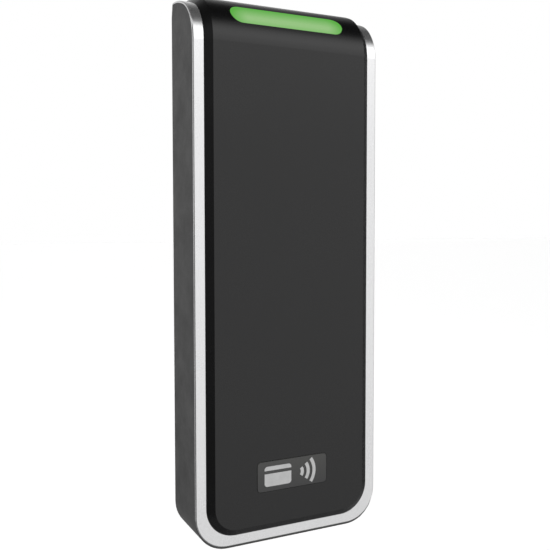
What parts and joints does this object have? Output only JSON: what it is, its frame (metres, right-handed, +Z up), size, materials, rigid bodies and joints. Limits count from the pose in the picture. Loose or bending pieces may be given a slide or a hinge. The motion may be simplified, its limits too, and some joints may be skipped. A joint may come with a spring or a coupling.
{
  "type": "rfid card reader",
  "caption": "Slim wall-mounted card reader: textured rear housing, U-shaped silver band, raised black cover with a green light bar, on a hook-on mounting plate.",
  "frame": {"origin": "midway between the two box-screw holes of the mounting plate, in the plane of the wall", "axes": "+X to the right of someone facing the wall, +Y into the wall, +Z up; the reader's face looks along -Y"},
  "size_m": [0.045, 0.0158, 0.1215],
  "materials": {
    "plate_plastic": "fine moulded texture",
    "housing_plastic": "coarse moulded texture, dark grey",
    "cover_plastic": "satin black",
    "silver_band": "satin silver paint",
    "green_lens": "diffusing, lit green",
    "clear_guide": "clear moulded",
    "gasket_rubber": "soft matt",
    "badge_grey": "satin dark grey",
    "badge_silver": "printed silver",
    "circuit_board": "green solder mask",
    "copper": "copper trace",
    "contact_metal": "tinned",
    "ferrite": "dark grey ferrite",
    "chip_black": "moulded package",
    "capacitor_tan": "moulded tantalum",
    "component_beige": "fired ceramic",
    "led_body": "clear resin",
    "terminal_green": "moulded green",
    "steel": "zinc plated",
    "brass": "turned",
    "label_paper": "blank label"
  },
  "bodies": {
    "plate": {"mounting_plate": "plate_plastic", "screw_insert": "brass"},
    "washer": {"retaining_washer": "steel"},
    "screw": {"security_screw": "steel"},
    "reader": {"antenna_board": "circuit_board", "antenna_coil": "copper", "antenna_pins": "contact_metal", "badge_mark": "badge_silver", "badge_plate": "badge_grey", "board_screws": "steel", "capacitors": "capacitor_tan", "controller_chip": "chip_black", "cover_gasket": "gasket_rubber", "cover_screws": "steel", "crystal": "contact_metal", "ferrite_sheet": "ferrite", "front_cover": "cover_plastic", "header_pins": "contact_metal", "inductor": "ferrite", "led_board": "circuit_board", "left_header": "terminal_green", "light_bar_lens": "green_lens", "light_guide": "clear_guide", "main_board": "circuit_board", "memory_chip": "chip_black", "radio_chip": "chip_black", "rear_housing": "housing_plastic", "rear_label": "label_paper", "right_header": "terminal_green", "small_components": "component_beige", "sounder": "chip_black", "status_leds": "led_body", "tamper_sensor": "chip_black", "trim_frame": "silver_band", "voltage_regulator": "chip_black"},
    "left_plug": {"left_plug": "terminal_green", "left_plug_screws": "contact_metal", "left_plug_clamps": "contact_metal"},
    "right_plug": {"right_plug": "terminal_green", "right_plug_screws": "contact_metal", "right_plug_clamps": "contact_metal"}
  },
  "joints": [
    {"name": "reader_swing", "type": "hinge", "parent": "plate", "child": "reader", "pos_m": [0, -0.0022, 0.055], "axis": [-1, 0, 0], "range_deg": [0, 12]},
    {"name": "screw_advance", "type": "slide", "parent": "plate", "child": "washer", "axis": [0, 0, -1], "range_m": [0, 0.006]},
    {"name": "screw_turn", "type": "hinge", "parent": "washer", "child": "screw", "pos_m": [0, -0.0042, -0.0588], "axis": [0, 0, -1], "range_deg": [0, 4321]},
    {"name": "left_plug_slide", "type": "slide", "parent": "reader", "child": "left_plug", "axis": [0, 0, -1], "range_m": [0, 0.006]},
    {"name": "right_plug_slide", "type": "slide", "parent": "reader", "child": "right_plug", "axis": [0, 0, -1], "range_m": [0, 0.006]}
  ],
  "couplings": [
    {"joint": "screw_turn", "follows": "screw_advance", "rad_per_m": 12566}
  ]
}
